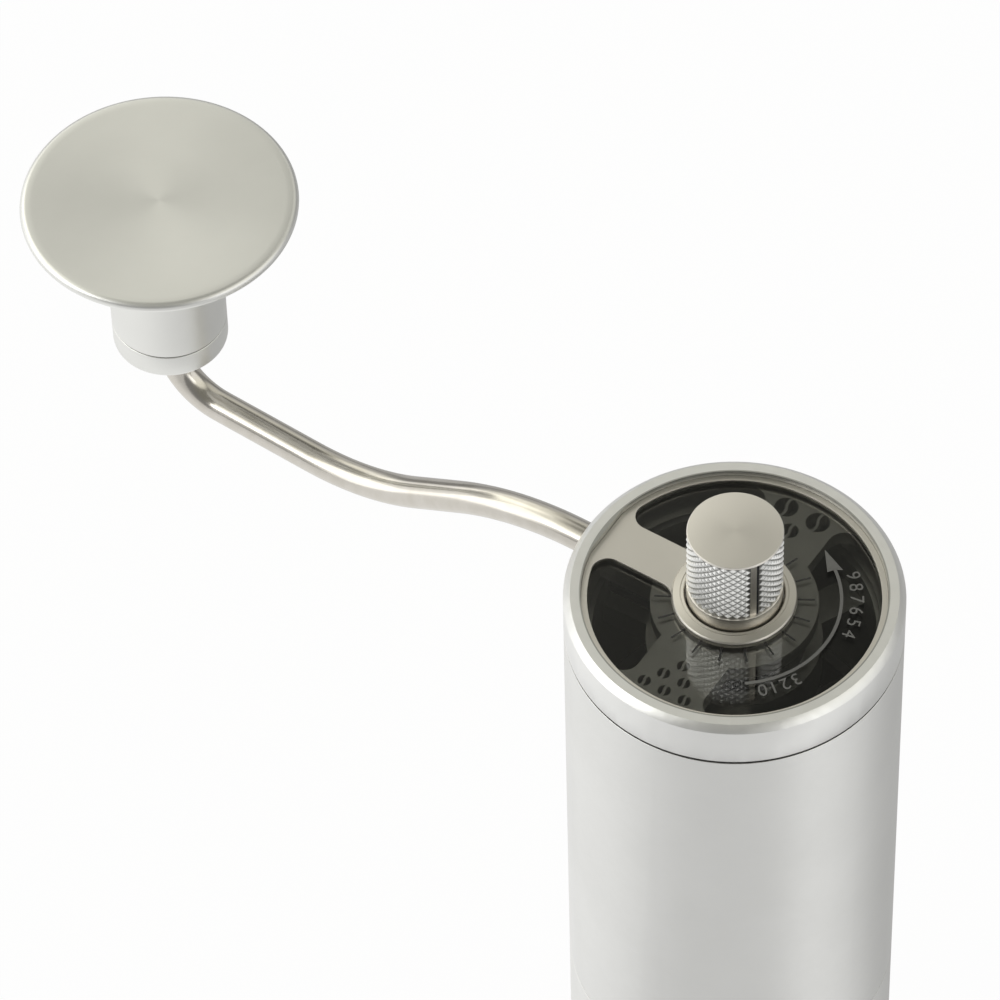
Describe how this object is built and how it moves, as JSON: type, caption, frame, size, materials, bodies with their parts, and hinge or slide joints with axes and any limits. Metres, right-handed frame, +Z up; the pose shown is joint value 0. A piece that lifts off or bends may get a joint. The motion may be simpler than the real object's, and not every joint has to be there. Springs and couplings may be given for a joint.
{
  "type": "hand crank coffee grinder",
  "caption": "Hand crank coffee grinder with a lift-off windowed head, bent crank arm with mushroom grip, top adjusting knob, conical burrs and a push-on catch cup.",
  "frame": {"origin": "centre of the foot pad's underside, on the table", "axes": "+Z up along the drive shaft; the crank arm points at 145.5 degrees from +X towards +Y at rest, and -Y faces the viewer"},
  "size_m": [0.1539, 0.1229, 0.1918],
  "materials": {
    "satin_aluminium": "satin anodised",
    "dark_aluminium": "grey anodised",
    "turned_aluminium": "fine turned",
    "bright_steel": "brushed",
    "polished_steel": "polished",
    "tool_steel": "ground",
    "bearing_steel": "ground and polished",
    "dark_fastener": "black oxide",
    "bronze": "machined",
    "smoked_window": "clear, lightly smoked",
    "black_rubber": "matt",
    "white_plastic": "moulded"
  },
  "bodies": {
    "housing": {"body_tube": "satin_aluminium", "upper_bridge": "dark_aluminium", "burr_carrier": "dark_aluminium", "ring_burr": "tool_steel", "ring_burr_screws": "dark_fastener", "upper_bearing_outer": "bearing_steel", "lower_bearing_outer": "bearing_steel", "return_spring": "bright_steel", "cup_o_ring": "black_rubber"},
    "lid": {"lid_carrier": "satin_aluminium", "lid_o_ring": "black_rubber", "lid_bearing_outer": "bearing_steel"},
    "crank": {"crank_head": "satin_aluminium", "dial_window": "smoked_window", "dial_frame": "bright_steel", "drive_socket": "tool_steel", "lid_bearing_inner": "bearing_steel", "lid_bearing_clip": "dark_fastener", "crank_arm": "polished_steel", "arm_screw": "dark_fastener", "grip_clip": "dark_fastener"},
    "grip": {"grip_knob": "turned_aluminium", "grip_end_ring": "turned_aluminium", "upper_grip_bush": "white_plastic", "lower_grip_bush": "white_plastic"},
    "adjuster": {"adjusting_knob": "bright_steel", "adjuster_clip": "dark_fastener", "adjuster_o_ring": "black_rubber"},
    "spindle": {"feed_spindle": "bright_steel"},
    "spring_carriage": {"spring_seat": "bright_steel"},
    "rotor": {"drive_shaft": "tool_steel", "cone_burr": "tool_steel", "burr_washer": "bright_steel", "burr_screw": "dark_fastener", "shaft_clip": "dark_fastener", "thrust_washer": "bronze"},
    "shaft_races": {"upper_bearing_inner": "bearing_steel", "lower_bearing_inner": "bearing_steel"},
    "shaft_balls": {"upper_bearing_balls": "bearing_steel", "lower_bearing_balls": "bearing_steel"},
    "lid_balls": {"lid_bearing_balls": "bearing_steel"},
    "cup": {"catch_cup": "satin_aluminium", "foot_pad": "black_rubber"}
  },
  "joints": [
    {"name": "crank_turn", "type": "hinge", "parent": "lid", "child": "crank", "pos_m": [0, 0, 0.16], "axis": [0, 0, 1], "continuous": true},
    {"name": "lid_lift", "type": "slide", "parent": "housing", "child": "lid", "axis": [0, 0, 1], "range_m": [0, 0.06]},
    {"name": "grip_spin", "type": "hinge", "parent": "crank", "child": "grip", "pos_m": [-0.09914, 0.06814, 0.16], "axis": [0, 0, 1], "continuous": true},
    {"name": "grind_adjust", "type": "hinge", "parent": "crank", "child": "adjuster", "pos_m": [0, 0, 0.16], "axis": [0, 0, 1], "range_deg": [-60, 280]},
    {"name": "spindle_feed", "type": "slide", "parent": "crank", "child": "spindle", "axis": [0, 0, -1], "range_m": [-0.0002, 0.0008]},
    {"name": "shaft_shift", "type": "slide", "parent": "housing", "child": "spring_carriage", "axis": [0, 0, -1], "range_m": [-0.00016666, 0.00077777], "deforming": ["return_spring"]},
    {"name": "shaft_turn", "type": "hinge", "parent": "spring_carriage", "child": "rotor", "pos_m": [0, 0, 0.1], "axis": [0, 0, 1], "continuous": true},
    {"name": "races_turn", "type": "hinge", "parent": "housing", "child": "shaft_races", "pos_m": [0, 0, 0.1], "axis": [0, 0, 1], "continuous": true},
    {"name": "balls_turn", "type": "hinge", "parent": "housing", "child": "shaft_balls", "pos_m": [0, 0, 0.1], "axis": [0, 0, 1], "continuous": true},
    {"name": "lid_balls_turn", "type": "hinge", "parent": "lid", "child": "lid_balls", "pos_m": [0, 0, 0.146], "axis": [0, 0, 1], "continuous": true},
    {"name": "cup_pull", "type": "slide", "parent": "housing", "child": "cup", "axis": [0, 0, -1], "range_m": [0, 0.05]}
  ],
  "couplings": [
    {"joint": "shaft_turn", "follows": "crank_turn", "ratio": 1},
    {"joint": "races_turn", "follows": "crank_turn", "ratio": 1},
    {"joint": "balls_turn", "follows": "crank_turn", "ratio": 0.4083},
    {"joint": "lid_balls_turn", "follows": "crank_turn", "ratio": 0.4424},
    {"joint": "spindle_feed", "follows": "shaft_shift", "ratio": 1},
    {"joint": "grind_adjust", "follows": "shaft_shift", "rad_per_m": 6283.2}
  ]
}
